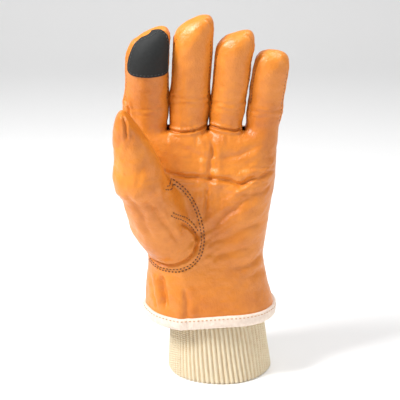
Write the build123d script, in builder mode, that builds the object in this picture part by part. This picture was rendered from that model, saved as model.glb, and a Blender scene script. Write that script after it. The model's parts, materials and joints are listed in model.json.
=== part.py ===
"""A left-hand lined leather work glove with a rib-knit wrist, standing on its cuff.

Units are millimetres. +Z runs from the cuff to the fingertips, the palm faces -Y and the
thumb is on the -X side. The origin is the centre of the cuff's mouth, on the surface that
the glove stands on. The glove is modelled filled out, as it is on a hand, and it is hollow
from the cuff to every fingertip.

Each finger is cut at its base crease and at its middle crease, where it bends. The
hinge lines lie in the palm-side leather, so that the leather folds there and opens on
the back of the hand.
"""

import os

from build123d import *

# ---------------------------------------------------------------- driving dimensions

LEATHER = 1.4  # thickness of the grain leather
LINING_GAP = 1.4  # room between the leather and the lining, for seams and elastic
LINING = 2.0  # thickness of the fleece lining
TOUCH_GAP = 0.1  # gap between stacked layers that are sewn together
MOVING_GAP = 0.4  # gap between parts that turn against each other

# Cross-sections of the hand and gauntlet: height, centre x, width, depth.
HEM = (50, -7, 97, 68)
WAIST = (92, -10.5, 85, 55)
HEEL = (124, -10.5, 96, 50)
MID_PALM = (160, -13, 110, 43)
KNUCKLES = (186, -13.8, 112, 33)
HAND_SECTIONS = (HEM, WAIST, HEEL, MID_PALM, KNUCKLES)

BEND_HEIGHT = 186  # height of the fingers' base creases
PRE_CURL = 4  # forward lean of the lower part of each finger
TIP_CURL = 14  # forward lean of the upper part
EXTEND_BASE = 8  # how far a finger swings back at its base
EXTEND_MIDDLE = 12  # how far it straightens at its middle crease

# Each finger: centre x and y at the base crease, sideways lean, radius at the base, radius
# at the tip, height of the middle crease, height of the fingertip.
FINGERS = {
    "index": (-54.0, 0.0, 2.3, 15.6, 15.2, 207, 262),
    "middle": (-23.5, -1.5, 3.3, 14.2, 14.0, 215, 275),
    "ring": (3.6, -3.0, 5.2, 12.0, 13.4, 211, 266),
    "little": (29.2, -3.0, 7.2, 12.3, 12.6, 205, 252),
}
SIDEWALL_WIDTH = 9  # width of the strip between a finger's front and back leather
DOME_SHARE = 0.9  # fingertip dome height as a share of its radius
DOME_ARC = 84  # degrees of dome before the small flat at its top

THUMB_ROOT = Vector(-44, -12, 112)
THUMB_CREASE = Vector(-58.5, -46, 168)
THUMB_TIP = Vector(-68.5, -50, 217)
THUMB_ROOT_RADIUS = 25
THUMB_CREASE_RADIUS = 17
THUMB_NECK_RADIUS = 9.5
THUMB_FOOT = Vector(-58, -5, 97)  # lower left corner of the thumb's seam
THUMB_PAD_SIDE = Vector(0.77, -0.64, 0)  # the way that the thumb's pad faces

CUFF_SECTIONS = ((0, 0.5, 79, 68), (30, -1, 73, 62), (66, -4, 68, 50))
KNIT = 3.0  # thickness of the doubled rib knit

BINDING_BAND = (46.5, 54.5)  # bottom and top of the hem binding
BINDING = 1.6  # how far the binding stands out from the leather
ELASTIC_BAND = (87, 97)  # bottom and top of the wrist elastic
ELASTIC = 1.0
LINING_BOTTOM = 68

PATCH_THICKNESS = 0.9  # touchscreen patch
PATCH_BOTTOM = 231
PATCH_TOP = 257
KEYSTONE_CENTRE = (-42, 128)  # centre, in x and z, of the thumb reinforcement
KEYSTONE_RADIUS = 32
KEYSTONE_THICKNESS = 1.1

UP = Vector(0, 0, 1)
FRONT = Vector(0, -1, 0)
BIG = 200  # larger than any piece, for cutting blocks


# ---------------------------------------------------------------- shared shapes


def hand_form(inset):
    """The filled outline of the hand and gauntlet, shrunk by inset all round."""
    with BuildPart() as form:
        for height, centre, width, depth in HAND_SECTIONS:
            with BuildSketch(Plane.XY.offset(height)):
                with Locations((centre, 0)):
                    SlotOverall(width - 2 * inset, depth - 2 * inset)
        loft()
    return form.part


def hand_layer(outer_inset, inner_inset):
    """A skin of the hand between two insets, open at the hem and at the knuckles."""
    with BuildPart() as layer:
        add(hand_form(outer_inset))
        add(hand_form(inner_inset), mode=Mode.SUBTRACT)
    return layer.part


def slice_between(bottom, top):
    """A block that spans everything between two heights."""
    with BuildPart(Plane.XY.offset(bottom)) as block:
        Box(2 * BIG, 2 * BIG, top - bottom, align=(Align.CENTER, Align.CENTER, Align.MIN))
    return block.part


def keep_side(part, plane):
    """The part of a piece on the side of the plane that its normal points to."""
    with BuildPart() as kept:
        add(part)
        split(bisect_by=plane, keep=Keep.TOP)
    return kept.part


def lean(sideways, forward):
    """Unit vector that leans sideways in x and then forward to the palm side, in degrees."""
    upright = UP.rotate(Axis.Y, sideways)
    return upright.rotate(Axis((0, 0, 0), upright.cross(FRONT)), forward)


def finish(part, label):
    """Names a finished piece and writes its file."""
    part.label = label
    export_step(part, f"parts/{label}.step")


os.makedirs("parts", exist_ok=True)


# ---------------------------------------------------------------- fingers


class Finger:
    """The axes, creases and tubes of one finger."""

    def __init__(self, name):
        x, y, sideways, base, tip, middle_height, tip_height = FINGERS[name]
        self.name = name
        self.base_radius, self.tip_radius = base, tip
        self.root = Vector(x, y, BEND_HEIGHT)
        self.lower = lean(sideways, PRE_CURL)
        self.upper = lean(sideways, TIP_CURL)
        self.joint = self.root + self.lower * ((middle_height - BEND_HEIGHT) / self.lower.Z)
        self.middle_radius = (base + tip) / 2
        self.reach = (tip_height - middle_height) / self.upper.Z
        self.base_pivot = Vector(x, y - base, BEND_HEIGHT)
        self.middle_pivot = self.joint + FRONT * self.middle_radius

    def frame(self, origin, direction):
        """A plane whose normal runs along the finger and whose x axis runs across it."""
        across = FRONT.cross(direction) * -1
        return Plane(origin=origin, x_dir=across, z_dir=direction)

    def lower_tube(self, inset):
        """The finger between its two creases, filled, shrunk by inset."""
        length = (self.joint - self.root).length
        overlap = 12
        grow = (self.middle_radius - self.base_radius) / length
        with BuildPart(self.frame(self.root - self.lower * overlap, self.lower)) as tube:
            Cone(
                self.base_radius - grow * overlap - inset,
                self.middle_radius + grow * overlap - inset,
                length + 2 * overlap,
                align=(Align.CENTER, Align.CENTER, Align.MIN),
            )
        return tube.part

    def upper_tube(self, inset):
        """The finger from its middle crease to its tip, filled, shrunk by inset."""
        across = FRONT.cross(self.upper).normalized() * -1
        profile_plane = Plane(
            origin=self.joint, x_dir=across, z_dir=across.cross(self.upper)
        )
        dome = DOME_SHARE * self.tip_radius
        shoulder = self.reach - dome
        start = -12
        middle, tip = self.middle_radius - inset, self.tip_radius - inset
        with BuildPart() as tube:
            with BuildSketch(profile_plane):
                with BuildLine():
                    Polyline((0, start), (middle, start), (tip, shoulder))
                    cap = EllipticalCenterArc(
                        (0, shoulder), tip, dome - inset, start_angle=0, arc_size=DOME_ARC
                    )
                    Polyline(cap @ 1, (0, (cap @ 1).Y), (0, start))
                make_face()
            revolve(axis=Axis(self.joint, self.upper))
        return tube.part


def finger_layer(tube_of, outer_inset, inner_inset):
    """A skin between two insets of a finger's tube."""
    with BuildPart() as layer:
        add(tube_of(outer_inset))
        add(tube_of(inner_inset), mode=Mode.SUBTRACT)
    return layer.part


def tilted_floor(pivot, angle):
    """A plane through a crease, facing up, raised towards the back by angle degrees."""
    normal = UP.rotate(Axis.X, angle)
    return Plane(origin=pivot + UP * MOVING_GAP / 2, x_dir=(1, 0, 0), z_dir=normal)


def tilted_ceiling(pivot):
    """The level plane just under a crease, facing down."""
    return Plane(origin=pivot - UP * MOVING_GAP / 2, x_dir=(1, 0, 0), z_dir=(0, 0, -1))


def cut_lower(finger, layer):
    """Trims a skin to the stretch between the base crease and the middle crease."""
    layer = keep_side(layer, tilted_floor(finger.base_pivot, EXTEND_BASE))
    return keep_side(layer, tilted_ceiling(finger.middle_pivot))


def cut_upper(finger, layer):
    """Trims a skin to the stretch above the middle crease."""
    return keep_side(layer, tilted_floor(finger.middle_pivot, EXTEND_MIDDLE))


def write_panels(layer, origin, direction, stem):
    """Cuts a finger's leather into front, back and sidewall and writes the three pieces."""
    forward = FRONT - direction * FRONT.dot(direction)
    forward = forward.normalized()
    half = SIDEWALL_WIDTH / 2
    front_seam = Plane(origin=origin + forward * half, z_dir=forward)
    back_seam = Plane(origin=origin - forward * half, z_dir=forward * -1)
    finish(keep_side(layer, front_seam), f"{stem}_front")
    finish(keep_side(layer, back_seam), f"{stem}_back")
    strip = keep_side(layer, Plane(origin=front_seam.origin, z_dir=forward * -1))
    finish(keep_side(strip, Plane(origin=back_seam.origin, z_dir=forward)), f"{stem}_sidewall")


LINING_OUT = LEATHER + LINING_GAP
LINING_IN = LINING_OUT + LINING

fingers = {name: Finger(name) for name in FINGERS}
for finger in fingers.values():
    lower = cut_lower(finger, finger_layer(finger.lower_tube, 0, LEATHER))
    write_panels(lower, finger.root, finger.lower, f"{finger.name}_lower")
    upper = cut_upper(finger, finger_layer(finger.upper_tube, 0, LEATHER))
    write_panels(upper, finger.joint, finger.upper, f"{finger.name}_upper")
    lower_lining = finger_layer(finger.lower_tube, LINING_OUT, LINING_IN)
    finish(cut_lower(finger, lower_lining), f"{finger.name}_lower_lining")
    upper_lining = finger_layer(finger.upper_tube, LINING_OUT, LINING_IN)
    finish(cut_upper(finger, upper_lining), f"{finger.name}_upper_lining")


# ---------------------------------------------------------------- touchscreen patch


def touchscreen_patch(finger):
    """A thin curved patch over the pad of a fingertip."""
    skin = finger_layer(finger.upper_tube, -TOUCH_GAP - PATCH_THICKNESS, -TOUCH_GAP)
    forward = (FRONT - finger.upper * FRONT.dot(finger.upper)).normalized()
    pad_edge = Plane(origin=finger.joint + forward * SIDEWALL_WIDTH / 2, z_dir=forward)
    with BuildPart() as patch:
        add(keep_side(skin, pad_edge))
        add(slice_between(PATCH_BOTTOM, PATCH_TOP), mode=Mode.INTERSECT)
    return patch.part


finish(touchscreen_patch(fingers["index"]), "touchscreen_patch")


# ---------------------------------------------------------------- thumb

thumb_lower_axis = (THUMB_CREASE - THUMB_ROOT).normalized()
thumb_upper_axis = (THUMB_TIP - THUMB_CREASE).normalized()
thumb_bend_side = (
    THUMB_PAD_SIDE - thumb_upper_axis * THUMB_PAD_SIDE.dot(thumb_upper_axis)
).normalized()
thumb_bend_pivot = THUMB_CREASE + thumb_bend_side * THUMB_CREASE_RADIUS
thumb_bend_axis = thumb_upper_axis.cross(thumb_bend_side)
thumb_spread_pivot = THUMB_FOOT


def thumb_lower_tube(inset, sunk=30):
    """The thumb from inside the palm to its crease, filled, shrunk by inset."""
    length = (THUMB_CREASE - THUMB_ROOT).length
    overlap = 10
    taper = (THUMB_CREASE_RADIUS - THUMB_ROOT_RADIUS) / length
    base = THUMB_ROOT - thumb_lower_axis * sunk
    with BuildPart(Plane(origin=base, z_dir=thumb_lower_axis)) as tube:
        Cone(
            THUMB_ROOT_RADIUS - taper * sunk - inset,
            THUMB_CREASE_RADIUS + taper * overlap - inset,
            length + sunk + overlap,
            align=(Align.CENTER, Align.CENTER, Align.MIN),
        )
    return tube.part


def thumb_upper_tube(inset):
    """The thumb from its crease to its tip, filled, shrunk by inset."""
    shoulder = (THUMB_TIP - THUMB_CREASE).length - THUMB_NECK_RADIUS
    neck = THUMB_NECK_RADIUS - inset
    start = -12
    profile_plane = Plane(
        origin=THUMB_CREASE,
        x_dir=thumb_bend_side,
        z_dir=thumb_bend_side.cross(thumb_upper_axis),
    )
    with BuildPart() as tube:
        with BuildSketch(profile_plane):
            with BuildLine():
                Polyline(
                    (0, start),
                    (THUMB_CREASE_RADIUS + 2 - inset, start),
                    (THUMB_CREASE_RADIUS - inset, 0),
                    (neck, shoulder),
                )
                cap = CenterArc((0, shoulder), neck, start_angle=0, arc_size=DOME_ARC)
                Polyline(cap @ 1, (0, (cap @ 1).Y), (0, start))
            make_face()
        revolve(axis=Axis(THUMB_CREASE, thumb_upper_axis))
    return tube.part


def thumb_lower_layer(outer_inset, inner_inset):
    """A skin of the thumb that ends where it meets the palm's leather."""
    with BuildPart() as layer:
        add(thumb_lower_tube(outer_inset))
        add(thumb_lower_tube(inner_inset, sunk=31), mode=Mode.SUBTRACT)
        add(hand_form(-KEYSTONE_THICKNESS - MOVING_GAP), mode=Mode.SUBTRACT)
        split(bisect_by=Plane(origin=THUMB_FOOT, z_dir=thumb_lower_axis), keep=Keep.TOP)
        ceiling = Plane(
            origin=thumb_bend_pivot - thumb_upper_axis * MOVING_GAP / 2,
            z_dir=thumb_upper_axis * -1,
        )
        split(bisect_by=ceiling, keep=Keep.TOP)
    return layer.part


def thumb_upper_layer(outer_inset, inner_inset):
    """A skin of the thumb above its crease."""
    with BuildPart() as layer:
        add(thumb_upper_tube(outer_inset))
        add(thumb_upper_tube(inner_inset), mode=Mode.SUBTRACT)
        floor = Plane(
            origin=thumb_bend_pivot + thumb_upper_axis * MOVING_GAP / 2,
            z_dir=thumb_upper_axis,
        )
        split(bisect_by=floor, keep=Keep.TOP)
    return layer.part


def write_thumb(layer, direction, stem):
    """Cuts the thumb's leather into its pad side and its nail side and writes both."""
    pad_side = THUMB_PAD_SIDE - direction * THUMB_PAD_SIDE.dot(direction)
    finish(keep_side(layer, Plane(origin=THUMB_CREASE, z_dir=pad_side)), f"{stem}_pad")
    finish(keep_side(layer, Plane(origin=THUMB_CREASE, z_dir=pad_side * -1)), f"{stem}_back")


write_thumb(thumb_lower_layer(0, LEATHER), thumb_lower_axis, "thumb_lower")
write_thumb(thumb_upper_layer(0, LEATHER), thumb_upper_axis, "thumb_upper")
finish(thumb_lower_layer(LINING_OUT, LINING_IN), "thumb_lower_lining")
finish(thumb_upper_layer(LINING_OUT, LINING_IN), "thumb_upper_lining")


# ---------------------------------------------------------------- hand

PALM_SIDE = Plane(origin=(0, 0, 0), z_dir=(0, -1, 0))
BACK_SIDE = Plane(origin=(0, 0, 0), z_dir=(0, 1, 0))


def hand_skin(outer_inset, inner_inset, bottom, hole_inset):
    """A skin of the hand from a given height up, with the hole that the thumb opens from."""
    with BuildPart() as skin:
        add(hand_layer(outer_inset, inner_inset))
        top = BEND_HEIGHT - MOVING_GAP / 2
        add(slice_between(bottom, top), mode=Mode.INTERSECT)
        add(thumb_lower_tube(hole_inset, sunk=8), mode=Mode.SUBTRACT)
    return skin.part


leather_hand = hand_skin(0, LEATHER, HEM[0], LINING_IN)
finish(keep_side(leather_hand, PALM_SIDE), "palm_panel")
finish(keep_side(leather_hand, BACK_SIDE), "back_panel")

lining_hand = hand_skin(LINING_OUT, LINING_IN, LINING_BOTTOM, LINING_IN)
finish(keep_side(lining_hand, PALM_SIDE), "lining_palm")
finish(keep_side(lining_hand, BACK_SIDE), "lining_back")

with BuildPart() as keystone_patch:
    add(hand_layer(-TOUCH_GAP - KEYSTONE_THICKNESS, -TOUCH_GAP))
    with BuildSketch(Plane.XZ):
        with Locations(KEYSTONE_CENTRE):
            Circle(KEYSTONE_RADIUS)
    extrude(amount=BIG, mode=Mode.INTERSECT)
    add(thumb_lower_tube(-MOVING_GAP), mode=Mode.SUBTRACT)
    split(bisect_by=Plane(origin=(KEYSTONE_CENTRE[0], 0, 0), z_dir=(1, 0, 0)), keep=Keep.TOP)
finish(keystone_patch.part, "keystone_patch")

with BuildPart() as wrist_elastic:
    add(hand_layer(LEATHER + TOUCH_GAP, LEATHER + TOUCH_GAP + ELASTIC))
    add(slice_between(*ELASTIC_BAND), mode=Mode.INTERSECT)
    split(bisect_by=BACK_SIDE, keep=Keep.TOP)
finish(wrist_elastic.part, "wrist_elastic")


# ---------------------------------------------------------------- hem and cuff

with BuildPart() as hem_binding:
    _, hem_centre, hem_width, hem_depth = HEM
    with BuildSketch(Plane.XY.offset(BINDING_BAND[0])):
        with Locations((hem_centre, 0)):
            SlotOverall(hem_width + 2 * BINDING, hem_depth + 2 * BINDING)
            tuck = 2 * (LEATHER + BINDING)
            SlotOverall(hem_width - tuck, hem_depth - tuck, mode=Mode.SUBTRACT)
    extrude(amount=BINDING_BAND[1] - BINDING_BAND[0])
    add(hand_layer(-TOUCH_GAP, LEATHER + TOUCH_GAP), mode=Mode.SUBTRACT)
finish(hem_binding.part, "hem_binding")


def cuff_form(inset):
    """The filled outline of the knit cuff, shrunk by inset all round."""
    with BuildPart() as form:
        for height, centre, width, depth in CUFF_SECTIONS:
            with BuildSketch(Plane.XY.offset(height)):
                with Locations((centre, 0)):
                    Ellipse(width / 2 - inset, depth / 2 - inset)
        loft()
    return form.part


with BuildPart() as knit_cuff:
    add(cuff_form(0))
    add(cuff_form(KNIT), mode=Mode.SUBTRACT)
finish(knit_cuff.part, "knit_cuff")
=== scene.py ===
"""Looks of the lined leather work glove: one skin per part of the hand, cut only where the
CAD bodies bend, with creases, seams and thread laid on it, a rib-knit cuff and a bound hem.
Lengths are worked in millimetres and divided by 1000 when a mesh is made."""
import json
import math

import bmesh
import bpy
import numpy as np
import openvdb
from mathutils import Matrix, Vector
from mathutils.bvhtree import BVHTree


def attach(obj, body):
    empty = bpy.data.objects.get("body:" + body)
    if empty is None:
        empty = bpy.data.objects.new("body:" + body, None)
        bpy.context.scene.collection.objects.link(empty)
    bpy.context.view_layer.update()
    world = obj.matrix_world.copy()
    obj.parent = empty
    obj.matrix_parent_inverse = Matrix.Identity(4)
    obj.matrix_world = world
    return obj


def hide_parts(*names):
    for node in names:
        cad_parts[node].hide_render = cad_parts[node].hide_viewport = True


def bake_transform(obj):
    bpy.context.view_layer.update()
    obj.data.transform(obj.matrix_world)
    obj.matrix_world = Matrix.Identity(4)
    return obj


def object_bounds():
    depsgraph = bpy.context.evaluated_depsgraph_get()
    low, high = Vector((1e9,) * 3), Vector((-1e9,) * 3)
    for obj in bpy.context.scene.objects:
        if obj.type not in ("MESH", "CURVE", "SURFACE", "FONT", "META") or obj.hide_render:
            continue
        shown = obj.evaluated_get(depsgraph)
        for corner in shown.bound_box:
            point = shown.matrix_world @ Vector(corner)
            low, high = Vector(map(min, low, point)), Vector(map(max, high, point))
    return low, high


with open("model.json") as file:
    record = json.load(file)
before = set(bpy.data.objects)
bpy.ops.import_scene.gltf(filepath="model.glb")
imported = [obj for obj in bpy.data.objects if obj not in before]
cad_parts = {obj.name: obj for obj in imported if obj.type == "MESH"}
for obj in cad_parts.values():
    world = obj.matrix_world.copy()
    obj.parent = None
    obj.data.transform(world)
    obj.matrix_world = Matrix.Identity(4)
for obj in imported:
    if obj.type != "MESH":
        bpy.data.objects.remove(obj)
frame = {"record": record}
cad_low, cad_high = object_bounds()

JOINTS = {j["name"]: j for j in frame["record"]["behaviour"]["joints"]}
VOXEL = 0.9
WHOLE = ((-92.0, 62.0), (-76.0, 44.0), (40.0, 214.0))


def pivot(name):
    return np.array(JOINTS[name]["pos_m"]) * 1000


# ---------------------------------------------------------------- the fields the skin is cut from

def smax(a, b, k):
    h = np.maximum(k - np.abs(a - b), 0) / k
    return np.maximum(a, b) + h * h * k / 4


def smin(a, b, k):
    return -smax(-a, -b, k)


SECTIONS = np.array([  # height, centre x, half width, half depth to the palm, and to the back
    (44, -7, 49.5, 34.5, 34.0), (54, -7, 48.3, 33.5, 33.5), (72, -9, 45.0, 30.0, 30.5),
    (92, -10.5, 42.6, 27.0, 27.5), (108, -10.8, 44.6, 26.5, 26.0), (124, -10.7, 47.8, 26.0, 25.0),
    (145, -12, 52.5, 24.0, 23.0), (165, -13.2, 55.0, 21.5, 20.0), (186, -13.8, 56.0, 17.5, 16.5),
    (200, -13.8, 56.0, 16.5, 16.0)])


def profile(z, column):
    """Smooth curve through one column of SECTIONS."""
    fine = np.linspace(SECTIONS[0, 0], SECTIONS[-1, 0], 400)
    rough = np.interp(fine, SECTIONS[:, 0], SECTIONS[:, column])
    width = 21
    padded = np.concatenate([np.full(width, rough[0]), rough, np.full(width, rough[-1])])
    smooth = np.convolve(padded, np.hanning(2 * width + 1) / np.hanning(2 * width + 1).sum(), "valid")
    return np.interp(z, fine, smooth)


def hand_field(x, y, z):
    cx, a, front, back = (profile(z, c) for c in (1, 2, 3, 4))
    depth = np.where(y < 0, front, back)
    ring = np.minimum(front, back)
    q = np.maximum(np.abs(x - cx) - (a - ring), 0)
    d = np.sqrt(q * q + (y * ring / depth) ** 2) - ring
    return smax(d, z - 190.0, 9)


def tube_field(x, y, z, a, b, ra, rb, squash=1.0):
    """Distance to a cone from a to b that goes on straight past both ends."""
    ab = b - a
    length = np.linalg.norm(ab)
    u = ab / length
    dx, dy, dz = x - a[0], y - a[1], z - a[2]
    t = dx * u[0] + dy * u[1] + dz * u[2]
    ex, ey, ez = dx - t * u[0], (dy - t * u[1]) / squash, dz - t * u[2]
    r = ra + (rb - ra) * np.clip(t / length, -0.6, 1.25)
    return np.sqrt(ex * ex + ey * ey + ez * ez) - r, t


FINGERS = {  # root x and y, sideways lean, radii: base, crease, tip; roof: slope, height, side of ridge
    "index": (-54.0, 0.0, 2.3, 15.9, 16.0, 15.7, 29, 263.5),
    "middle": (-23.5, -1.5, 3.3, 14.3, 14.4, 14.3, 29, 273.5),
    "ring": (3.6, -3.0, 5.2, 12.5, 13.3, 13.8, 22, 264.0),
    "little": (29.2, -3.0, 7.2, 12.4, 12.8, 12.9, 4, 251.0),
}
ORDER = list(FINGERS)
ROOT_HEIGHT = 186.0
SIDEWALL = 4.5  # half the width of the strip at each side of a finger


class Finger:
    def __init__(self, name):
        x, y, lean, self.r0, self.r1, self.r2, self.slope, self.top = FINGERS[name]
        lean = math.radians(lean)
        self.name = name
        self.root = np.array((x, y, ROOT_HEIGHT))

        def along(forward):
            f = math.radians(forward)
            return np.array((math.sin(lean) * math.cos(f), -math.sin(f), math.cos(lean) * math.cos(f)))

        self.low, self.up = along(4), along(14)
        crease = pivot(name + "_middle")[2]
        self.joint = self.root + self.low * ((crease - ROOT_HEIGHT) / self.low[2])
        self.tip = self.joint + self.up * ((self.top - crease) / self.up[2])
        self.side = np.array((math.cos(lean), 0.0, -math.sin(lean)))
        self.front = np.cross(self.up, self.side)
        if self.front[1] > 0:
            self.front = -self.front

    def axis(self, z):
        """Points of the finger's middle line at the heights z."""
        below = self.root + np.outer((z - ROOT_HEIGHT) / self.low[2], self.low)
        above = self.joint + np.outer((z - self.joint[2]) / self.up[2], self.up)
        return np.where((z < self.joint[2])[:, None], below, above)

    def field(self, x, y, z):
        """Distance to the finger: two cones that meet at the crease, under a slanting tip."""
        low, along_low = tube_field(x, y, z, self.root, self.joint, self.r0, self.r1, 0.93)
        up, along_up = tube_field(x, y, z, self.joint, self.tip, self.r1, self.r2, 0.9)
        low = smax(low, along_low - (self.joint - self.root) @ self.low - 6.0, 6)
        up = smax(up, -8.0 - along_up, 6)
        body = smin(low, up, 4)
        body = smax(np.where(z < self.joint[2] - 14, low, body), 177.0 - z, 6)
        s = math.radians(self.slope)
        n = math.cos(s) * self.up - math.sin(s) * self.side
        roof = (x - self.tip[0]) * n[0] + (y - self.tip[1]) * n[1] + (z - self.tip[2]) * n[2]
        across = np.abs((x - self.tip[0]) * self.front[0] + (y - self.tip[1]) * self.front[1]
                        + (z - self.tip[2]) * self.front[2])
        roof = roof + 0.022 * across ** 2
        return smax(body, roof, 13)


fingers = {n: Finger(n) for n in ORDER}


def between(name, other):
    """A plane that parts two neighbouring fingers: point and unit normal towards the other."""
    a, b = fingers[name], fingers[other]
    pa = a.root + a.side * a.r0 if b.root[0] > a.root[0] else a.root - a.side * a.r0
    pb = b.root - b.side * b.r0 if b.root[0] > a.root[0] else b.root + b.side * b.r0
    up = a.low + b.low + a.up + b.up
    n = np.cross(np.array((0.0, 1.0, 0.0)), up)
    n /= np.linalg.norm(n)
    if (b.root - a.root) @ n < 0:
        n = -n
    return (pa + pb) / 2, n


T_ROOT, T_CREASE, T_TIP = (np.array(v, float) for v in
                           ((-40, -13, 113), (-58.0, -44.5, 168), (-65.0, -50, 217.5)))


THUMB_MELT = 7  # how softly the thumb runs into the palm


def thumb_field(x, y, z):
    low, along_low = tube_field(x, y, z, T_ROOT, T_CREASE, 23.5, 16.0)
    up, along_up = tube_field(x, y, z, T_CREASE, T_TIP, 16.4, 12.0, 0.92)
    low = smax(low, along_low - 72.0, 8)
    up = smax(up, -12.0 - along_up, 8)
    body = smin(low, up, 8)
    s = math.radians(50)
    roof = (x + 62.0) * math.sin(s) + (z - 209.0) * math.cos(s)
    left = (x + 75.5) * -0.90 + (z - 204.0) * 0.43
    body = smax(smax(body, roof, 6), left, 6)
    foot = (x + 60) * -0.60 - (z - 103) * 0.80
    return smax(smax(body, foot, 14), 94.0 - z, 10)


def axes(spans):
    return [np.arange(lo, hi + VOXEL, VOXEL) for lo, hi in spans]


def grid(spans):
    gx, gy, gz = axes(spans)
    return gx[:, None, None], gy[None, :, None], gz[None, None, :]


def surface(values, spans):
    """Points and quads of the field's zero surface."""
    band = 3.0
    vdb = openvdb.FloatGrid(band)
    vdb.copyFromArray(np.ascontiguousarray(np.clip(values, -band, band), dtype=np.float32))
    points, quads = vdb.convertToQuads(isovalue=0.0)
    points = points.astype(float) * VOXEL + np.array([lo for lo, _ in spans])
    return points, quads.astype(int)


def all_fingers(x, y, z):
    out = None
    for f in fingers.values():
        v = f.field(x, y, z)
        out = v if out is None else np.minimum(out, v)
    return out


# ---------------------------------------------------------------- noise and folds

def lattice(ix, iy, iz, seed):
    h = (ix.astype(np.int64) * 374761393 + iy.astype(np.int64) * 668265263
         + iz.astype(np.int64) * 2147483647 + seed * 974711) & 0x7FFFFFFF
    h = ((h ^ (h >> 13)) * 1274126177) & 0x7FFFFFFF
    return ((h ^ (h >> 16)) & 0xFFFF) / 32767.5 - 1


def noise(p, size, seed=0):
    """Smooth value noise from -1 to 1 over points, with features of about size mm."""
    q = p / np.asarray(size, float)
    base = np.floor(q).astype(int)
    f = q - base
    f = f * f * f * (f * (f * 6 - 15) + 10)
    out = np.zeros(len(p))
    for dx in (0, 1):
        for dy in (0, 1):
            for dz in (0, 1):
                w = (np.abs(1 - dx - f[:, 0]) * np.abs(1 - dy - f[:, 1]) * np.abs(1 - dz - f[:, 2]))
                out += w * lattice(base[:, 0] + dx, base[:, 1] + dy, base[:, 2] + dz, seed)
    return out


def gauss(d, width):
    return np.exp(-(d / width) ** 2)


def to_line(px, pz, line):
    """Distance in the palm's plane to a polyline, and how far along it, from 0 to 1."""
    pts = np.array(line, float)
    seg = np.linalg.norm(np.diff(pts, axis=0), axis=1)
    done = np.concatenate([[0], np.cumsum(seg)]) / seg.sum()
    best = np.full(px.shape, 1e9)
    where = np.zeros(px.shape)
    for i in range(len(pts) - 1):
        a, b = pts[i], pts[i + 1]
        ab = b - a
        t = np.clip(((px - a[0]) * ab[0] + (pz - a[1]) * ab[1]) / (ab @ ab), 0, 1)
        d = np.hypot(px - a[0] - t * ab[0], pz - a[1] - t * ab[1])
        near = d < best
        best = np.where(near, d, best)
        where = np.where(near, done[i] + t * (done[i + 1] - done[i]), where)
    return best, where


# Lines drawn in the palm's plane, as x and height.
GUNN_SEAM = [(-37, 191.5), (-30.2, 190.7), (-22, 191.5), (-15.2, 193), (-9, 195), (-3, 194),
             (4.8, 193), (11.2, 192), (15, 193)]
THUMB_SEAM = [(-58.4, 100.7), (-54.1, 95.2), (-46.8, 92.9), (-39.4, 92.4), (-32.1, 94.5),
              (-24.0, 98.4), (-18.9, 103.8), (-16.7, 111.6), (-17.4, 117.2), (-22.5, 123.4),
              (-27.5, 128.0), (-31.9, 132.1), (-35.4, 138.2), (-37.8, 147.6), (-39.4, 158.1)]
OUTER_ROW = [(-38.2, 159.5), (-31.7, 156.0), (-23.9, 149.2), (-18.1, 139.8), (-14.6, 130.2),
             (-12.4, 120.2), (-12.1, 110.9), (-14.1, 101.5), (-18.2, 95.3), (-24.1, 91.0),
             (-32.2, 88.7), (-41.7, 88.3), (-49.1, 89.9), (-53.5, 92.5)]
INNER_ROW = [(-34.5, 138.5), (-31.0, 135.3), (-25.5, 131.3), (-19.6, 125.1), (-15.4, 117.0)]
CREASES = [  # line in the palm's plane, depth, width
    ([(-41.1, 162.6), (-27.5, 160.3), (-13.1, 158.1), (-0.1, 157.3), (13.6, 154.8), (25.8, 158.8),
      (36.0, 161.3)], 1.5, 2.2),
    ([(-8.1, 188.8), (-5.2, 180.0), (-6.6, 161.8), (-8.0, 153.8), (-10.2, 143.2), (-11.2, 128.4)], 1.1, 2.4),
    ([(32, 152.1), (18.1, 143.5), (3.7, 131.0), (-9.8, 114.6)], 0.9, 3.0),
    ([(36, 126), (18, 121), (0, 114), (-11, 108)], 0.7, 3.2),
    ([(22, 107), (6, 104), (-10, 103)], 0.6, 2.6),
    ([(-30, 182), (-18, 176), (-8, 172)], 0.6, 2.6),
    ([(30, 183), (15, 176), (0, 172)], 0.6, 2.6),
    ([(-43.9, 84.3), (-41.1, 72.7), (-38.2, 60.4)], 1.6, 2.4),
    ([(-27.6, 76.2), (-24.4, 64.6), (-22.9, 53.2)], 1.1, 2.4),
    ([(-52, 80), (-49, 70), (-48, 58)], 1.1, 2.0),
    ([(34, 96), (22, 92), (8, 90)], 1.0, 3.2),
    ([(39, 82), (28, 84), (16, 83)], 0.8, 3.2),
    ([(-68.2, 217), (-66.3, 210), (-64.4, 202), (-63.5, 198)], 1.0, 0.9),
    ([(-66, 160), (-60, 150), (-55, 136), (-48, 120)], 0.7, 2.2),
    ([(-50, 152), (-44, 140), (-36, 126), (-29, 112)], 0.8, 2.0),
]


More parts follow.
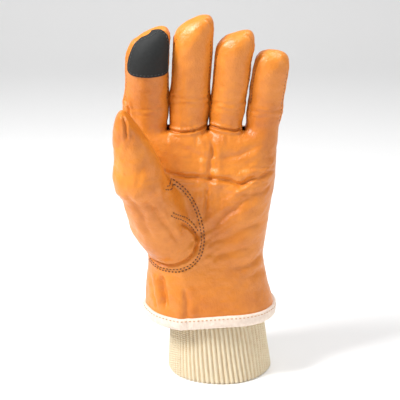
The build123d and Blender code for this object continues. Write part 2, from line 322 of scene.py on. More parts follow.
def relief(p, n):
    """How far the leather stands in or out of the smooth skin, in mm."""
    x, y, z = p.T
    palm = np.clip(-n[:, 1] * 1.6, 0, 1)
    back = np.clip(n[:, 1] * 1.6, 0, 1)
    in_hand = np.clip((194 - z) / 6, 0, 1)
    d = 0.8 * noise(p, (30, 30, 34), 1) + 0.42 * noise(p, (13, 13, 15), 2)
    wx = x + 1.6 * noise(p, (14, 14, 14), 3) + 0.5 * noise(p, (4, 4, 4), 4)
    wz = z + 1.6 * noise(p, (14, 14, 14), 5) + 0.5 * noise(p, (4, 4, 4), 6)
    for line, depth, width in CREASES:
        far, at = to_line(wx, wz, line)
        fade = np.clip(np.minimum(at, 1 - at) * 5 + 0.15, 0, 1)
        lips = 0.5 * gauss(far - 2.2 * width, 1.3 * width)
        d += 1.5 * palm * depth * fade * (lips - gauss(far, 0.8 * width))
    cross, _ = to_line(wx, wz, CREASES[0][0])
    upright, _ = to_line(wx, wz, CREASES[1][0])
    diag, _ = to_line(wx, wz, CREASES[2][0])
    d += 0.85 * palm * gauss(cross, 11) * noise(p, (12, 14, 2.3), 7)
    d += 0.70 * palm * gauss(upright, 10) * in_hand * noise(p, (2.5, 14, 12), 8)
    slanted = np.stack([(x * 0.8 + z * 0.6), y, (z * 0.8 - x * 0.6)], 1)
    d += 0.80 * palm * gauss(diag, 22) * noise(slanted, (26, 20, 3.0), 9)
    d += 0.26 * noise(p, (3.4, 3.4, 3.4), 10) * (0.6 + 0.4 * noise(p, (20, 20, 20), 11))
    gunn, _ = to_line(x, z, GUNN_SEAM)
    row = palm * ((x > -37) & (x < 15))
    d += row * (1.2 * gauss(gunn - 1.6, 1.1) - 1.7 * gauss(gunn, 0.9))
    d += 0.55 * row * gauss(z - 190, 8) * noise(p, (2.4, 20, 14), 12)
    seam, _ = to_line(x, z, THUMB_SEAM)
    front = palm * (y > -34)
    d += front * (0.7 * gauss(seam - 2.2, 1.3) - 2.0 * gauss(seam, 0.9))
    d += 0.55 * palm * gauss(seam, 10) * noise(slanted, (2.6, 12, 12), 13)
    outer, _ = to_line(x, z, OUTER_ROW)
    d += front * (0.35 * gauss(outer - 1.8, 1.2) - 0.30 * gauss(outer, 1.1))
    thumb = np.clip((-y - 30) / 6, 0, 1) * (x < -30)
    along = (x * 0.24 + y * 0.35 + z * 0.9)
    side = x * 0.93 - z * 0.24
    d += 0.45 * thumb * noise(np.stack([side, y, along], 1), (3.0, 7, 20), 14)
    # gathers where the wrist draws in, and loose folds down to the hem
    around = np.stack([x * 1.0, y * 1.0, z * 0.12], 1)
    d += 1.1 * gauss(z - 66, 17) * noise(around, (9, 9, 4), 15) * (1 - 0.5 * gauss(x - 15, 20) * palm)
    d += 1.0 * back * gauss(z - 92, 8) * np.sin(x * 1.15 + 0.8 * noise(p, (10, 10, 10), 16))
    d += 0.35 * back * gauss(z - 92, 22) * noise(around, (3.2, 9, 6), 17)
    # the seam down each edge of the hand
    at_edge = (z < 186) * (z > 56) * (np.abs(n[:, 1]) < 0.6) * (np.abs(x + 12) > 30) * (y > -12)
    d -= 0.5 * gauss(y, 0.9) * at_edge
    # fingers: raised seams beside the sidewalls, folds at the middle joint, the seam over the tip
    for f in fingers.values():
        rel = p - f.axis(z)
        s, fr = rel @ f.side, rel @ f.front
        mine = (np.hypot(s, fr) < f.r1 + 3) & (z > 192)
        edge = mine * np.clip(np.abs(s) / f.r1 * 3 - 1.2, 0, 1) * np.clip((z - 196) / 6, 0, 1)
        off = np.abs(fr) - SIDEWALL
        d += edge * (0.35 * gauss(off - 1.8, 1.1) + 0.35 * gauss(off + 1.8, 1.1) - 0.75 * gauss(off, 0.8))
        fold = z + 0.9 * noise(p, (6, 6, 6), 18)
        d -= 0.55 * mine * palm * gauss(fold - f.joint[2] - 1.5, 1.1)
        d -= 0.35 * mine * palm * gauss(fold - f.joint[2] + 3.2, 0.9)
        d += 0.26 * mine * palm * gauss(z - f.joint[2], 10) * noise(p, (9, 14, 1.9), 19)
        d += 0.22 * mine * noise(p, (5, 5, 9), 20)
        d += 0.25 * mine * back * gauss(z - f.joint[2], 9) * noise(p, (9, 14, 2.6), 21)
        roof_side = mine * np.clip((z - f.tip[2] + 12) / 8, 0, 1)
        d -= 0.7 * roof_side * gauss(fr + SIDEWALL, 0.8) * (n[:, 2] > 0.45)
    return d


# ---------------------------------------------------------------- meshes

def vertex_normals(points, quads):
    a, b = points[quads[:, 2]] - points[quads[:, 0]], points[quads[:, 3]] - points[quads[:, 1]]
    face = np.cross(a, b)
    out = np.zeros_like(points)
    for k in range(4):
        np.add.at(out, quads[:, k], face)
    return out / np.maximum(np.linalg.norm(out, axis=1, keepdims=True), 1e-9)


def relaxed(points, quads, rounds=2):
    """Evens out the lattice's steps."""
    edges = np.concatenate([quads[:, [0, 1]], quads[:, [1, 2]], quads[:, [2, 3]], quads[:, [3, 0]]])
    count = np.bincount(edges.ravel(), minlength=len(points))[:, None]
    for _ in range(rounds):
        total = np.zeros_like(points)
        np.add.at(total, edges[:, 0], points[edges[:, 1]])
        np.add.at(total, edges[:, 1], points[edges[:, 0]])
        points = points * 0.4 + 0.6 * total / np.maximum(count, 1)
    return points


def clipped(skin, z, keep_above):
    """Cuts the skin level at height z; returns points, faces as tuples and normals."""
    points, quads, normals = skin
    bm = bmesh.new()
    layer = bm.verts.layers.float_vector.new("rest_normal")
    verts = [bm.verts.new(p) for p in points]
    for v, n in zip(verts, normals):
        v[layer] = n
    for q in quads:
        bm.faces.new([verts[i] for i in q])
    bmesh.ops.bisect_plane(bm, geom=list(bm.verts) + list(bm.edges) + list(bm.faces), dist=1e-4,
                           plane_co=(0, 0, z), plane_no=(0, 0, 1),
                           clear_inner=keep_above, clear_outer=not keep_above)
    bm.verts.index_update()
    out = np.array([v.co for v in bm.verts])
    ns = np.array([v[layer] for v in bm.verts])
    faces = [tuple(v.index for v in f.verts) for f in bm.faces]
    bm.free()
    return out, faces, ns


def add_mesh(name, points, faces, material, normals=None):
    mesh = bpy.data.meshes.new(name)
    mesh.from_pydata((np.asarray(points) / 1000).tolist(), [], [tuple(int(i) for i in f) for f in faces])
    mesh.polygons.foreach_set("use_smooth", [True] * len(mesh.polygons))
    mesh.update()
    if normals is not None:
        mesh.normals_split_custom_set_from_vertices(np.asarray(normals).tolist())
    mesh.materials.append(material)
    obj = bpy.data.objects.new(name, mesh)
    bpy.context.scene.collection.objects.link(obj)
    return obj


def part_of(name, skin, mask, material):
    """A piece made of the skin's masked faces, with the whole skin's normals."""
    points, faces, normals = skin
    chosen = [f for f, m in zip(faces, mask) if m]
    used = np.unique(np.concatenate([np.array(f) for f in chosen]))
    new = {int(v): i for i, v in enumerate(used)}
    return add_mesh(name, points[used], [[new[i] for i in f] for f in chosen], material, normals[used])


def centres(skin):
    points, faces, _ = skin
    return np.array([points[list(f)].mean(0) for f in faces])


def inside(px, pz, polygon):
    poly = np.asarray(polygon, float)
    odd = np.zeros(px.shape, bool)
    j = len(poly) - 1
    for i in range(len(poly)):
        (xi, zi), (xj, zj) = poly[i], poly[j]
        hit = ((zi > pz) != (zj > pz)) & (px < (xj - xi) * (pz - zi) / (zj - zi + 1e-12) + xi)
        odd ^= hit
        j = i
    return odd


# ---------------------------------------------------------------- materials

class Nodes:
    """Shorthand for building one material's node tree."""

    def __init__(self, name):
        self.mat = bpy.data.materials.new(name)
        self.mat.use_nodes = True
        self.tree = self.mat.node_tree
        self.bsdf = self.tree.nodes["Principled BSDF"]
        self.coords = self.tree.nodes.new("ShaderNodeTexCoord").outputs["Object"]

    def add(self, kind, inputs=None, **props):
        node = self.tree.nodes.new(kind)
        for key, value in props.items():
            setattr(node, key, value)
        for key, value in (inputs or {}).items():
            if isinstance(value, bpy.types.NodeSocket):
                self.tree.links.new(value, node.inputs[key])
            else:
                node.inputs[key].default_value = value
        return node

    def noise(self, scale, detail=3.0, rough=0.5, vector=None):
        inputs = {"Vector": vector or self.coords, "Scale": scale, "Detail": detail, "Roughness": rough}
        return self.add("ShaderNodeTexNoise", inputs).outputs["Fac"]

    def ramp(self, fac, stops):
        node = self.add("ShaderNodeValToRGB", {"Fac": fac})
        ramp = node.color_ramp
        while len(ramp.elements) < len(stops):
            ramp.elements.new(0.5)
        for element, (at, colour) in zip(ramp.elements, stops):
            element.position = at
            element.color = (*colour, 1) if len(colour) == 3 else colour
        return node.outputs["Color"]

    def math(self, operation, a, b):
        return self.add("ShaderNodeMath", {0: a, 1: b}, operation=operation).outputs[0]

    def bump(self, height, distance, strength=1.0, normal=None):
        inputs = {"Height": height, "Distance": distance, "Strength": strength}
        if normal:
            inputs["Normal"] = normal
        return self.add("ShaderNodeBump", inputs).outputs["Normal"]

    def set(self, **values):
        for key, value in values.items():
            socket = self.bsdf.inputs[key.replace("_", " ")]
            if isinstance(value, bpy.types.NodeSocket):
                self.tree.links.new(value, socket)
            else:
                socket.default_value = value
        return self.mat


def leather_material(name, dark, mid, light):
    m = Nodes(name)
    broad = m.noise(22, 4, 0.55)
    fine = m.noise(160, 4, 0.6)
    tone = m.math("ADD", m.math("MULTIPLY", broad, 0.72), m.math("MULTIPLY", fine, 0.28))
    colour = m.ramp(tone, [(0.30, dark), (0.52, mid), (0.74, light)])
    pores = m.add("ShaderNodeTexVoronoi", {"Vector": m.coords, "Scale": 900.0, "Randomness": 1.0})
    grain = m.noise(520, 3, 0.6)
    creases = m.noise(170, 5, 0.62)
    normal = m.bump(pores.outputs["Distance"], 0.00025, 0.5)
    normal = m.bump(grain, 0.0005, 0.45, normal)
    normal = m.bump(creases, 0.0013, 0.55, normal)
    rough = m.add("ShaderNodeMapRange", {"Value": creases, "To Min": 0.30, "To Max": 0.52}).outputs[0]
    return m.set(Base_Color=colour, Roughness=rough, Normal=normal, Specular_IOR_Level=0.5, Coat_Weight=0.12,
                 Coat_Roughness=0.3)


LEATHER = leather_material("leather", (0.50, 0.130, 0.008), (0.66, 0.205, 0.016), (0.78, 0.270, 0.030))


def fabric_material(name, colour, second, scale=900, depth=0.0004, rough=0.9, sheen=0.25):
    m = Nodes(name)
    fac = m.noise(scale * 0.35, 3, 0.6)
    weave = m.noise(scale, 2, 0.5)
    normal = m.bump(weave, depth, 0.7)
    return m.set(Base_Color=m.ramp(fac, [(0.3, second), (0.7, colour)]), Roughness=rough, Normal=normal,
                 Sheen_Weight=sheen)


BINDING = fabric_material("binding_tape", (0.84, 0.72, 0.62), (0.74, 0.60, 0.50), 1100, 0.0003)
FLEECE = fabric_material("fleece", (0.80, 0.72, 0.58), (0.66, 0.58, 0.44), 420, 0.0012, 1.0, 0.5)
ELASTIC = fabric_material("elastic", (0.72, 0.66, 0.56), (0.62, 0.56, 0.46), 1000, 0.0003)
TOUCH = fabric_material("touch_fabric", (0.009, 0.010, 0.010), (0.004, 0.005, 0.005), 1500, 0.0002, 0.75, 0.0)


def thread_material(name, colour, second, rough=0.7):
    return fabric_material(name, colour, second, 2500, 0.0001, rough, 0.1)


DARK_THREAD = thread_material("thread_dark", (0.11, 0.032, 0.008), (0.07, 0.02, 0.005))
LIGHT_THREAD = thread_material("thread_light", (0.62, 0.34, 0.16), (0.45, 0.22, 0.10))
BLACK_THREAD = thread_material("thread_black", (0.05, 0.055, 0.055), (0.03, 0.03, 0.03), 0.6)


def knit_material():
    m = Nodes("rib_knit")
    uv = m.add("ShaderNodeUVMap", uv_map="ribs").outputs[0]
    split = m.add("ShaderNodeSeparateXYZ", {0: uv})
    # each rib's stitches are a column of small slanted loops: height along y, leaning by side
    side = m.math("ABSOLUTE", m.math("SUBTRACT", m.math("FRACT", split.outputs[0], 0.0), 0.5), 0.0)
    lift = m.math("ADD", m.math("MULTIPLY", split.outputs[1], 1.0), m.math("MULTIPLY", side, 1.5))
    loops = m.math("SINE", m.math("MULTIPLY", lift, 2 * math.pi), 0.0)
    yarn = m.noise(1400, 2, 0.6)
    # painted shade: the colour darkens halfway between rib centres, in the grooves between the ribs where
    # shade falls; the dark brown first ramp stop below is reached mostly through this painted shade
    painted_groove_shade = m.math("MULTIPLY", m.math("SUBTRACT", 0.5, side), -0.55)
    tone = m.math("ADD", m.math("MULTIPLY", loops, 0.07), m.math("MULTIPLY", m.noise(260, 3, 0.6), 0.4))
    colour = m.ramp(m.math("ADD", m.math("ADD", tone, 0.52), painted_groove_shade),
                    [(0.22, (0.48, 0.31, 0.14)), (0.42, (0.86, 0.66, 0.40)), (0.7, (0.97, 0.84, 0.60))])
    normal = m.bump(loops, 0.0005, 0.8)
    normal = m.bump(yarn, 0.0003, 0.5, normal)
    return m.set(Base_Color=colour, Roughness=0.95, Normal=normal, Sheen_Weight=0.3)


KNIT = knit_material()


# ---------------------------------------------------------------- thread

def threads(name, line, normals, material, stitch=2.3, gap=1.0, radius=0.42, sunk=0.05):
    """A row of separate stitches along a line that lies on the skin."""
    line, normals = np.asarray(line, float), np.asarray(normals, float)
    run = np.concatenate([[0], np.cumsum(np.linalg.norm(np.diff(line, axis=0), axis=1))])
    verts, faces = [], []
    s = gap / 2
    steps, sides = 6, 6  # rings along a stitch, corners round it
    while s + stitch < run[-1]:
        base = len(verts)
        for i in range(steps + 1):
            t = i / steps
            at = s + stitch * t
            p = np.array([np.interp(at, run, line[:, k]) for k in range(3)])
            q = np.array([np.interp(at + 0.2, run, line[:, k]) for k in range(3)])
            n = np.array([np.interp(at, run, normals[:, k]) for k in range(3)])
            n /= np.linalg.norm(n)
            u = q - p
            u /= max(np.linalg.norm(u), 1e-9)
            w = np.cross(u, n)
            arch = math.sin(math.pi * t)
            r = radius * (0.35 + 0.65 * arch ** 0.5)
            centre = p + n * (arch * radius * 1.1 - radius * 0.5 - sunk)
            for k in range(sides):
                a = 2 * math.pi * k / sides
                verts.append(centre + r * (math.cos(a) * w + math.sin(a) * n))
        for i in range(steps):
            for k in range(sides):
                a, b = base + i * sides + k, base + i * sides + (k + 1) % sides
                faces.append((a, b, b + sides, a + sides))
        faces.append(tuple(base + k for k in range(sides))[::-1])
        faces.append(tuple(base + steps * sides + k for k in range(sides)))
        s += stitch + gap
    return add_mesh(name, verts, faces, material)


def resampled(line, step=1.0):
    line = np.asarray(line, float)
    for _ in range(3):
        cut = [line[0]]
        for a, b in zip(line[:-1], line[1:]):
            cut += [a * 0.75 + b * 0.25, a * 0.25 + b * 0.75]
        line = np.array(cut + [line[-1]])
    run = np.concatenate([[0], np.cumsum(np.linalg.norm(np.diff(line, axis=0), axis=1))])
    at = np.arange(0, run[-1], step)
    return np.stack([np.interp(at, run, line[:, k]) for k in range(line.shape[1])], 1)


def tree(points, faces):
    return BVHTree.FromPolygons(np.asarray(points).tolist(), [tuple(f) for f in faces])


def onto(bvh, line):
    """Lays a line of the palm's plane on the skin from the front."""
    out, normals = [], []
    for x, z in line:
        hit, n, _, _ = bvh.ray_cast(Vector((x, -140, z)), Vector((0, 1, 0)))
        if hit is not None:
            out.append(hit)
            normals.append(n if n.y < 0 else -n)
    return np.array(out), np.array(normals)


def offset_line(line, by):
    line = np.asarray(line, float)
    way = np.gradient(line, axis=0)
    way /= np.linalg.norm(way, axis=1, keepdims=True)
    return line + by * np.stack([-way[:, 1], way[:, 0]], 1)


# ---------------------------------------------------------------- hand and thumb

HEM_CUT, KNUCKLE_CUT = 49.0, 191.0


def hem_drop(x, y):
    """The hem's slight tilt and waviness."""
    return 0.022 * (x + 7) + 0.9 * math.sin(0.075 * x + 0.6) * (1 if y < 0 else 0.5)


x, y, z = grid(WHOLE)
hand_only = hand_field(x, y, z)
thumb_only = thumb_field(x, y, z)
with_fingers = smin(hand_only, all_fingers(x, y, z), 5)
melted = smin(hand_only, thumb_only, THUMB_MELT)
values = np.minimum(smin(melted, with_fingers, 0.5), thumb_only)
points, quads = surface(values, WHOLE)
points = relaxed(points, quads)


def carve(points, quads):
    """The skin with its relief."""
    n = vertex_normals(points, quads)
    moved = points + n * relief(points, n)[:, None]
    low = moved[:, 2] < 75
    share = np.clip((75 - moved[:, 2]) / 22, 0, 1)
    drop = np.array([hem_drop(a, b) for a, b in moved[low][:, :2]])
    moved[low, 2] += share[low] * drop
    return moved


THUMB_SIDE = THUMB_SEAM + [(-40.5, 166), (-36, 190), (-36, 240), (-110, 240), (-110, 90), (-62, 97)]


def which(p):
    """True where a point belongs to the thumb rather than the palm."""
    palm_side = hand_field(p[:, 0], p[:, 1], p[:, 2])
    hand = np.minimum(palm_side, all_fingers(p[:, 0], p[:, 1], p[:, 2]))
    thumb = thumb_field(p[:, 0], p[:, 1], p[:, 2])
    slack = np.where(p[:, 1] < -12, np.clip((158 - p[:, 2]) * 1.2, 0, 30), 0)
    return (thumb < hand + slack) & (inside(p[:, 0], p[:, 2], THUMB_SIDE) | (palm_side > 3))


points = carve(points, quads)
skin = clipped((points, quads, vertex_normals(points, quads)), HEM_CUT, True)

centre = centres(skin)
on_thumb = which(centre)
thumb_axis = T_TIP - T_CREASE
thumb_axis /= np.linalg.norm(thumb_axis)
PAD = np.array((0.77, -0.64, 0.0))
pad_side = (centre - T_CREASE) @ (PAD - thumb_axis * (PAD @ thumb_axis)) > 0
THUMB_CUT = 6.0
past_crease = (centre - T_CREASE) @ thumb_axis > THUMB_CUT
thumb_pieces = {}
for stem, past in (("thumb_base", False), ("thumb_tip", True)):
    for panel, side in (("pad", True), ("back", False)):
        mask = on_thumb & (past_crease == past) & (pad_side == side)
        piece = part_of(f"{stem}_{panel}_leather", skin, mask, LEATHER)
        cad = f"thumb_{'upper' if past else 'lower'}_{panel}"
        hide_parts(cad, *([f"thumb_{'upper' if past else 'lower'}_lining"] if panel == "pad" else []))
        thumb_pieces[f"{stem}_{panel}"] = piece


def blend_thumb(piece):
    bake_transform(piece)


for key, piece in thumb_pieces.items():
    blend_thumb(piece)

not_thumb = [f for f, m in zip(skin[1], on_thumb) if not m]
hand_skin = clipped((skin[0], not_thumb, skin[2]), KNUCKLE_CUT, False)
middle = centres(hand_skin)
is_palm = middle[:, 1] < 0
CRESCENT = OUTER_ROW + THUMB_SEAM
is_patch = is_palm & inside(middle[:, 0], middle[:, 2], CRESCENT) & (middle[:, 1] > -34)
palm = part_of("palm_leather", hand_skin, is_palm & ~is_patch, LEATHER)
back = part_of("back_leather", hand_skin, ~is_palm, LEATHER)
patch = part_of("thumb_reinforcement_leather", hand_skin, is_patch, LEATHER)
for piece, node in ((palm, "palm_panel"), (back, "back_panel"), (patch, "keystone_patch")):
    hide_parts(node)
    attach(piece, "hand")


# ---------------------------------------------------------------- fingers

def finger_skin(f):
    """The finger's own skin, down to where it joins the hand, parted from its neighbours."""
    r = max(f.r0, f.r2) + 8
    xs = [f.root[0], f.tip[0]]
    ys = [f.root[1], f.tip[1]]
    lo = [WHOLE[0][0] + VOXEL * math.floor((min(xs) - r - WHOLE[0][0]) / VOXEL),
          WHOLE[1][0] + VOXEL * math.floor((min(ys) - r - WHOLE[1][0]) / VOXEL),
          WHOLE[2][0] + VOXEL * math.floor((176 - WHOLE[2][0]) / VOXEL)]
    spans = ((lo[0], max(xs) + r), (lo[1], max(ys) + r), (lo[2], f.top + 10))
    gx, gy, gz = grid(spans)
    own = f.field(gx, gy, gz)
    v = np.where(gz > 200, own, smin(hand_field(gx, gy, gz), own, 5))
    i = ORDER.index(f.name)
    for other in ORDER[max(0, i - 1):i] + ORDER[i + 1:i + 2]:
        at, n = between(f.name, other)
        wall = (gx - at[0]) * n[0] + (gy - at[1]) * n[1] + (gz - at[2]) * n[2]
        v = smax(v, wall + 0.35, 1.6)
    p, q = surface(v, spans)
    p = relaxed(p, q)
    n = vertex_normals(p, q)
    p = p + n * relief(p, n)[:, None]
    return clipped((p, q, vertex_normals(p, q)), KNUCKLE_CUT, True)


finger_skins = {}
finger_spans = {}
for name, f in fingers.items():
    skin_f = finger_skin(f)
    finger_skins[name] = skin_f
    c = centres(skin_f)
    reach = (f.joint - f.root) @ f.low
    cut = f.joint - f.low * (reach * 0.32)
    past = (c - cut) @ f.low > 0
    fr = (c - f.axis(c[:, 2])) @ f.front
    base_span = (f.root + f.low * 5.2, cut)
    tip_span = (cut, f.joint + f.up * 8)
    finger_spans[name] = (cut, base_span, tip_span)
    for stem, half, word in (("base", ~past, "lower"), ("tip", past, "upper")):
        for panel, side in (("front", fr > SIDEWALL), ("back", fr < -SIDEWALL),
                            ("sidewall", np.abs(fr) <= SIDEWALL)):
            mask = half & side
            piece = part_of(f"{name}_{stem}_{panel}_leather", skin_f, mask, LEATHER)
            nodes = [f"{name}_{word}_{panel}"] + ([f"{name}_{word}_lining"] if panel == "front" else [])
            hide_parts(*nodes)
            a, b, span = (("hand", f"{name}_lower", base_span) if stem == "base"
                          else (f"{name}_lower", f"{name}_upper", tip_span))
            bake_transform(piece)


def finger_threads(name, f):
    """Stitches along the seams between a finger's front and back leather and its sidewalls."""
    bvh = tree(*finger_skins[name][:2])
    cut, _, tip_span = finger_spans[name]
    for side_name, sign in (("thumb_side", -1), ("little_side", 1)):
        for seam_name, across in (("front", 5.7), ("back", -5.7)):
            line, normals = [], []
            for at in f.axis(np.arange(199.0, f.top - 12, 1.0)):
                start = at + f.front * across + f.side * sign * 40
                hit, n, _, _ = bvh.ray_cast(Vector(start), Vector(-sign * f.side))
                if hit is not None:
                    line.append(hit)
                    normals.append(n if n.dot(Vector(f.side * sign)) > 0 else -n)
            line, normals = np.array(line), np.array(normals)
            past = (line - cut) @ f.low > 0
            piece = threads(f"{name}_{side_name}_{seam_name}_stitches", line[past], normals[past],
                            DARK_THREAD, 1.9, 0.9, 0.26, 0.08)
            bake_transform(piece)


for name, f in fingers.items():
    finger_threads(name, f)


# ---------------------------------------------------------------- touchscreen patch

def touch_patch(f):
    bvh = tree(*finger_skins["index"][:2])
    columns, rows = 60, 60
    top, ns = [], []
    for j in range(rows + 1):
        for i in range(columns + 1):
            a, b = 2 * i / columns - 1, 2 * j / rows - 1
            # round the corners of the patch
            corner = 0.30
            ea, eb = max(abs(a) - (1 - corner), 0) / corner, max(abs(b) - (1 - corner), 0) / corner
            pull = 1 if ea == 0 or eb == 0 else max(ea, eb) / math.hypot(ea, eb)
            a2 = math.copysign((1 - corner) + ea * corner * pull, a) if ea and eb else a
            b2 = math.copysign((1 - corner) + eb * corner * pull, b) if ea and eb else b
            angle = math.radians(8 + 64 * a2)
            # lower edge level, upper edge slanting with the fingertip
            low, high = 236.5, 260.5 + 2.5 * a2
            height = low + (high - low) * (b2 + 1) / 2
            at = f.joint + f.up * ((height - f.joint[2]) / f.up[2])
            tilt = max(0.0, height - 253) / 12
            way = f.front * math.cos(angle) + f.side * math.sin(angle) + f.up * tilt
            way /= np.linalg.norm(way)
            hit, n, _, _ = bvh.ray_cast(Vector(at + way * 40), Vector(-way))
            if hit is None:
                hit, n = Vector(at + way * f.r2), Vector(way)
            if n.dot(Vector(way)) < 0:
                n = -n
            top.append(np.array(hit))
            ns.append(np.array(n))
    top, ns = np.array(top), np.array(ns)
    w = columns + 1
    grid_top = top.reshape(rows + 1, w, 3)
    smooth = grid_top.copy()
    for _ in range(6):
        smooth[1:-1, 1:-1] = (smooth[:-2, 1:-1] + smooth[2:, 1:-1] + smooth[1:-1, :-2] + smooth[1:-1, 2:]) / 4
    top = smooth.reshape(-1, 3)
    verts = np.concatenate([top + ns * 0.95, top - ns * 0.5])
    faces = []
    for j in range(rows):
        for i in range(columns):
            a = j * w + i
            faces.append((a, a + 1, a + w + 1, a + w))
            b = a + len(top)
            faces.append((b + w, b + w + 1, b + 1, b))
    rim = ([(0, i) for i in range(columns)] + [(j, columns) for j in range(rows)]
           + [(rows, i) for i in range(columns, 0, -1)] + [(j, 0) for j in range(rows, 0, -1)])
    ids = [j * w + i for j, i in rim]
    for a, b in zip(ids, ids[1:] + ids[:1]):
        faces.append((b, a, a + len(top), b + len(top)))
    piece = add_mesh("touch_patch", verts, faces, TOUCH)
    inset = 4
    ring_ids = ([(inset, i) for i in range(inset, columns - inset)]
                + [(j, columns - inset) for j in range(inset, rows - inset)]
                + [(rows - inset, i) for i in range(columns - inset, inset, -1)]
                + [(j, inset) for j in range(rows - inset, inset, -1)])
    ring_ids = [j * w + i for j, i in ring_ids]
    ring_ids.append(ring_ids[0])
    line = np.array([top[i] + ns[i] * 0.95 for i in ring_ids])
    stitched = threads("touch_patch_stitches", line, ns[ring_ids], BLACK_THREAD, 1.7, 0.9, 0.30, 0.0)
    return piece, stitched


_, _, tip_span = finger_spans["index"]
patch_piece, patch_row = touch_patch(fingers["index"])
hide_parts("touchscreen_patch")
for piece in (patch_piece, patch_row):
    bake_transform(piece)


# ---------------------------------------------------------------- stitches on the palm

palm_tree = tree(skin[0], skin[1])
rows = {
    "reinforcement_outer_stitches": (OUTER_ROW, 0.9),
    "reinforcement_outer_second_stitches": (OUTER_ROW, -1.3),
    "reinforcement_inner_stitches": (INNER_ROW, 0.9),
    "reinforcement_inner_second_stitches": (INNER_ROW, -1.3),
}
for name, (line, by) in rows.items():
    hits, normals = onto(palm_tree, offset_line(resampled(line), by))
    piece = threads(name, hits, normals, DARK_THREAD, 1.9, 0.8, 0.40, 0.0)
    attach(piece, "hand")


# ---------------------------------------------------------------- hem binding

def hem_outline(steps=420):
    """The leather's outline just above the hem, found from outside."""
    out = []
    for i in range(steps):
        a = 2 * math.pi * i / steps
        start = Vector((-7 + 90 * math.cos(a), 90 * math.sin(a), 53.5))
        hit, _, _, _ = palm_tree.ray_cast(start, Vector((-math.cos(a), -math.sin(a), 0)))
        out.append((hit.x, hit.y) if hit else (np.nan, np.nan))
    out = np.array(out)
    for _ in range(3):
        out = (np.roll(out, 1, 0) + 2 * out + np.roll(out, -1, 0)) / 4
    return out


# the folded tape in section: how far out from the leather, and height
BAND = [(0.1, 54.9), (0.9, 54.9), (1.5, 54.3), (1.7, 52.0), (1.8, 49.5), (1.5, 47.2), (0.6, 46.0),
        (-0.8, 45.7), (-2.0, 46.4), (-2.5, 48.0), (-2.6, 51.0), (-2.4, 54.0), (-1.6, 54.8)]
outline = hem_outline()
away = np.roll(outline, -1, 0) - np.roll(outline, 1, 0)
away = np.stack([away[:, 1], -away[:, 0]], 1)
away /= np.linalg.norm(away, axis=1, keepdims=True)
verts = []
for i, ((px, py), (ax, ay)) in enumerate(zip(outline, away)):
    pucker = 0.12 * math.sin(i * 2.1)
    for off, h in BAND:
        o = off + (pucker if off > 0 else 0)
        verts.append((px + ax * o, py + ay * o, h + hem_drop(px, py)))
count, ringed = len(outline), len(BAND)
faces = [(i * ringed + k, ((i + 1) % count) * ringed + k, ((i + 1) % count) * ringed + (k + 1) % ringed,
          i * ringed + (k + 1) % ringed) for i in range(count) for k in range(ringed)]
binding = add_mesh("hem_binding_tape", verts, faces, BINDING)
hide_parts("hem_binding")
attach(binding, "hand")
THREAD_OUT, THREAD_HEIGHT = 1.62, 53.2
top_line = [(px + ax * THREAD_OUT, py + ay * THREAD_OUT, THREAD_HEIGHT + hem_drop(px, py))
            for (px, py), (ax, ay) in zip(outline, away)]
top_line.append(top_line[0])
top_normals = [(ax, ay, 0.1) for ax, ay in away] + [(away[0][0], away[0][1], 0.1)]
hem_row = threads("hem_binding_stitches", top_line, top_normals, LIGHT_THREAD, 1.9, 1.2, 0.36, 0.0)
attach(hem_row, "hand")


# ---------------------------------------------------------------- knit cuff

def cuff_outline(z):
    rows = np.array([(0, 0.5, 39.0, 33.5), (30, -1, 36.2, 30.6), (66, -4, 33.8, 24.8)])
    return [np.interp(z, rows[:, 0], rows[:, k]) for k in (1, 2, 3)]


RIBS, PER_RIB, RISE = 66, 8, 64
CUFF_TOP = 66.0
KNIT_PITCH = 1.5  # height of one stitch of the knit
heights = np.linspace(0.0, CUFF_TOP, RISE)
verts, faces = [], []
across = RIBS * PER_RIB
layers = [(z, 0.0) for z in heights] + [(z, 2.6) for z in heights[::-4]]
for z, inset in layers:
    cx, a, b = cuff_outline(z)
    roll = 1.1 * max(0, 1 - z / 1.6) ** 2
    for i in range(across):
        t = 2 * math.pi * i / across
        phase = i / PER_RIB
        slant = 0.9 * math.sin(phase * 2 * math.pi / RIBS)
        wave = math.cos(2 * math.pi * phase)
        rib = 0.75 * wave + 0.35 * (1 - wave * wave)
        wobble = 0.5 * math.sin(3 * t + 0.05 * z) + 0.35 * math.sin(5 * t - 0.09 * z + 1)
        r = -inset + rib * (1 if inset == 0 else -0.4) - roll * (1 if inset == 0 else -0.6) + wobble
        lean = 0.0016 * z * slant
        verts.append((cx + (a + r) * math.cos(t + lean), (b + r) * math.sin(t + lean), max(z, 0.02)))
for j in range(len(layers)):
    k = (j + 1) % len(layers)
    for i in range(across):
        n = (i + 1) % across
        faces.append((j * across + i, j * across + n, k * across + n, k * across + i))
cuff = add_mesh("knit_cuff_ribbed", verts, faces, KNIT)
ribs_uv = cuff.data.uv_layers.new(name="ribs")
loop_uv = []
for j in range(len(layers)):
    k = (j + 1) % len(layers)
    z0, z1 = layers[j][0] / KNIT_PITCH, layers[k][0] / KNIT_PITCH
    for i in range(across):
        u0, u1 = i / PER_RIB, (i + 1) / PER_RIB
        loop_uv += [u0, z0, u1, z0, u1, z1, u0, z1]
ribs_uv.data.foreach_set("uv", loop_uv)
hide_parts("knit_cuff")
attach(cuff, "hand")


# ---------------------------------------------------------------- inside

def inner(name, mask, depth, material, node, fluff):
    """A layer behind the masked part of the hand's skin."""
    p, f, n = hand_skin
    q = p - n * depth + n * (fluff * noise(p, (3, 3, 3), 30))[:, None]
    piece = part_of(name, (q, [t[::-1] for t in f], -n), mask, material)
    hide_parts(node)
    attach(piece, "hand")
    return piece


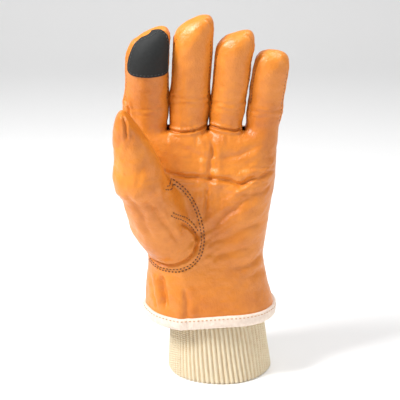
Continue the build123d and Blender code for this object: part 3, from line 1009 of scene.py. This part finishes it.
LINING_BOTTOM, LINING_DEPTH = 62, 4.0
ELASTIC_HEIGHT, ELASTIC_HALF, ELASTIC_DEPTH = 92, 5, 2.4
lined = middle[:, 2] > LINING_BOTTOM
banded = ~is_palm & (np.abs(middle[:, 2] - ELASTIC_HEIGHT) < ELASTIC_HALF)
linings = [inner(f"hand_lining_{half}", mask & lined, LINING_DEPTH, FLEECE,
                 f"lining_{half}", 0.4)
           for half, mask in (("palm", is_palm), ("back", ~is_palm))]
elastic = inner("wrist_elastic_band", banded, ELASTIC_DEPTH, ELASTIC, "wrist_elastic", 0.0)


# ---------------------------------------------------------------- studio

def studio():
    scene = bpy.context.scene
    floor_mat = Nodes("floor").set(Base_Color=(0.93, 0.93, 0.93, 1), Roughness=0.9)
    radius, far, wide = 0.5, 1.1, 3.0
    path = [(-2.5, 0.0)] + [(far + radius * math.sin(a), radius - radius * math.cos(a))
                            for a in np.linspace(0, math.pi / 2, 12)] + [(far + radius, 3.0)]
    verts = [(sx, y, z) for y, z in path for sx in (-wide, wide)]
    faces = [(2 * i, 2 * i + 1, 2 * i + 3, 2 * i + 2) for i in range(len(path) - 1)]
    mesh = bpy.data.meshes.new("floor")
    mesh.from_pydata(verts, [], faces)
    mesh.polygons.foreach_set("use_smooth", [True] * len(faces))
    mesh.materials.append(floor_mat)
    floor = bpy.data.objects.new("floor", mesh)
    scene.collection.objects.link(floor)
    world = bpy.data.worlds.new("soft")
    world.use_nodes = True
    world.node_tree.nodes["Background"].inputs["Color"].default_value = (1, 1, 1, 1)
    world.node_tree.nodes["Background"].inputs["Strength"].default_value = 0.42
    scene.world = world
    centre = (cad_low + cad_high) / 2
    for name, offset, energy, size in (("key", (-0.62, -0.30, 0.72), 13.0, 0.30),
                                       ("fill", (0.9, -0.6, 0.35), 2.5, 0.6),
                                       ("top", (0.25, 0.10, 0.95), 5.0, 0.4)):
        light = bpy.data.lights.new(name, "AREA")
        light.energy, light.size = energy, size
        obj = bpy.data.objects.new(name, light)
        obj.location = centre + Vector(offset)
        obj.rotation_euler = (centre - obj.location).to_track_quat("-Z", "Y").to_euler()
        scene.collection.objects.link(obj)
    camera = bpy.data.cameras.new("camera")
    distance, frame_height = 0.90, 0.2975
    camera.sensor_width = 36
    camera.lens = 36 / frame_height * distance
    camera.clip_end = 20
    obj = bpy.data.objects.new("camera", camera)
    elevation = math.radians(18)
    aim = Vector((-0.0145, 0, 0.135))
    obj.location = aim + Vector((0, -math.cos(elevation), math.sin(elevation))) * distance
    obj.rotation_euler = (math.pi / 2 - elevation, 0, 0)
    scene.collection.objects.link(obj)
    scene.camera = obj
    scene.view_settings.view_transform = "Standard"


studio()
